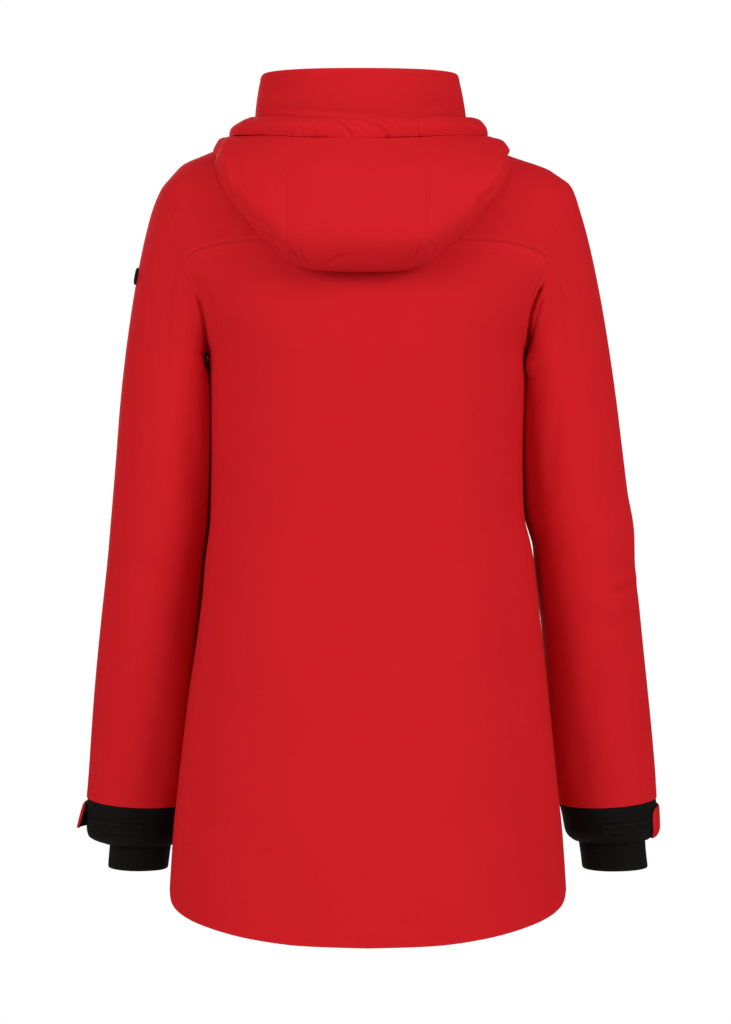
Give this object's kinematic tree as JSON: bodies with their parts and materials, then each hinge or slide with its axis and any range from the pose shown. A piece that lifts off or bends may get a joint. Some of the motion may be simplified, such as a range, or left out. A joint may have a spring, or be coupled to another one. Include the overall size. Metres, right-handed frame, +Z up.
{
  "type": "hooded rain jacket",
  "caption": "Long zipped rain jacket with a stand collar, a hood hanging down the back, long sleeves with tabbed cuffs and inner cuffs, and a curved hem, hollow as worn.",
  "frame": {"origin": "middle of the neck opening, about level with the seam that joins the collar to the body", "axes": "+Z up, the zipped front faces -Y, +X to the wearer's left"},
  "size_m": [0.5939, 0.3118, 0.8546],
  "materials": {
    "shell_cloth": "smooth matte water-shedding soft shell",
    "cuff_cloth": "matte black stretch cloth",
    "patch": "plain black patch with a stitched edge",
    "loop_tape": "black loop tape",
    "hook_tape": "black hook tape",
    "zip_chain": "moulded black teeth",
    "zip_tape": "black woven zip tape",
    "zip_metal": "black lacquer"
  },
  "bodies": {
    "jacket": {"back_panel": "shell_cloth", "back_yoke": "shell_cloth", "badge": "patch", "collar": "shell_cloth", "cuff_left": "cuff_cloth", "cuff_right": "cuff_cloth", "front_left": "shell_cloth", "front_right": "shell_cloth", "hood_casing_center": "shell_cloth", "hood_casing_left": "shell_cloth", "hood_casing_right": "shell_cloth", "hood_center": "shell_cloth", "hood_left": "shell_cloth", "hood_right": "shell_cloth", "inner_cuff_left": "cuff_cloth", "inner_cuff_right": "cuff_cloth", "loop_tape_left": "loop_tape", "loop_tape_right": "loop_tape", "sleeve_left": "shell_cloth", "sleeve_right": "shell_cloth", "strap_hook_left": "hook_tape", "strap_hook_right": "hook_tape", "strap_left": "shell_cloth", "strap_right": "shell_cloth", "zip_chain": "zip_chain", "zip_slider": "zip_metal", "zip_tape_left": "zip_tape", "zip_tape_right": "zip_tape"},
    "zip_pull": {"zip_pull": "zip_metal"}
  },
  "joints": [
    {"name": "zip_pull_hinge", "type": "hinge", "parent": "jacket", "child": "zip_pull", "pos_m": [0, -0.09008, 0.0232], "axis": [-1, 0, 0], "range_deg": [0, 160]}
  ]
}
